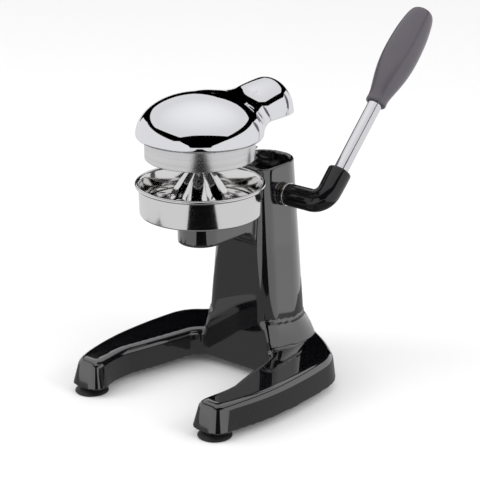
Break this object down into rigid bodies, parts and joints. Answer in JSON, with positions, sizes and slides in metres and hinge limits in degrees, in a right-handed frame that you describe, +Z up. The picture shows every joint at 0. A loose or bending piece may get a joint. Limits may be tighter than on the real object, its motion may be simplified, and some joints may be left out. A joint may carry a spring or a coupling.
{
  "type": "citrus press juicer",
  "caption": "Manual lever citrus press: a cast stand with spread legs holds a steel bowl under a domed press head that a rack, pinion and side lever drive down.",
  "frame": {"origin": "centre of the bounding box at rest, on the surface that the press stands on", "axes": "+Z up, -Y towards the open ends of the legs, +Y towards the column and the raised lever, +X towards the lever's side"},
  "size_m": [0.2328, 0.3606, 0.3677],
  "materials": {
    "black_paint": "gloss",
    "black_paint_elbow": "gloss",
    "polished_steel": "polished",
    "brushed_bell": "satin",
    "chrome": "polished",
    "tooth_steel": "satin",
    "rubber": "matte",
    "grip_plastic": "satin",
    "bronze": "satin",
    "guide_plastic": "satin"
  },
  "bodies": {
    "stand": {"frame_casting": "black_paint", "juice_bowl": "polished_steel", "strainer": "polished_steel", "reamer_cone": "polished_steel", "shaft_bush_right": "bronze", "shaft_bush_left": "bronze", "bearing_cap": "black_paint_elbow", "rack_guide_right": "guide_plastic", "rack_guide_screw_right": "tooth_steel", "rack_guide_left": "guide_plastic", "rack_guide_screw_left": "tooth_steel", "foot_front_right": "rubber", "foot_screw_front_right": "tooth_steel", "foot_front_left": "rubber", "foot_screw_front_left": "tooth_steel", "foot_rear_right": "rubber", "foot_screw_rear_right": "tooth_steel", "foot_rear_left": "rubber", "foot_screw_rear_left": "tooth_steel"},
    "lever": {"pinion": "tooth_steel", "pinion_roll_pin": "tooth_steel", "pinion_shaft": "tooth_steel", "retaining_clip": "tooth_steel", "hub_washer": "tooth_steel", "lever_elbow": "black_paint_elbow", "elbow_grub_screw": "tooth_steel", "lever_rod": "chrome", "lever_grip": "grip_plastic"},
    "head": {"head_cover": "chrome", "press_bell": "brushed_bell", "bell_screw": "tooth_steel", "rack_bar": "tooth_steel", "rack_stop_pin": "tooth_steel", "rack_screw_lower": "tooth_steel", "rack_screw_upper": "tooth_steel"}
  },
  "joints": [
    {"name": "lever_turn", "type": "hinge", "parent": "stand", "child": "lever", "pos_m": [0, 0.00654, 0.194], "axis": [1, 0, 0], "range_deg": [-30, 166]},
    {"name": "head_slide", "type": "slide", "parent": "stand", "child": "head", "axis": [0, 0, 1], "range_m": [-0.0444, 0.0081]}
  ],
  "couplings": [
    {"joint": "head_slide", "follows": "lever_turn", "m_per_rad": -0.0153}
  ]
}
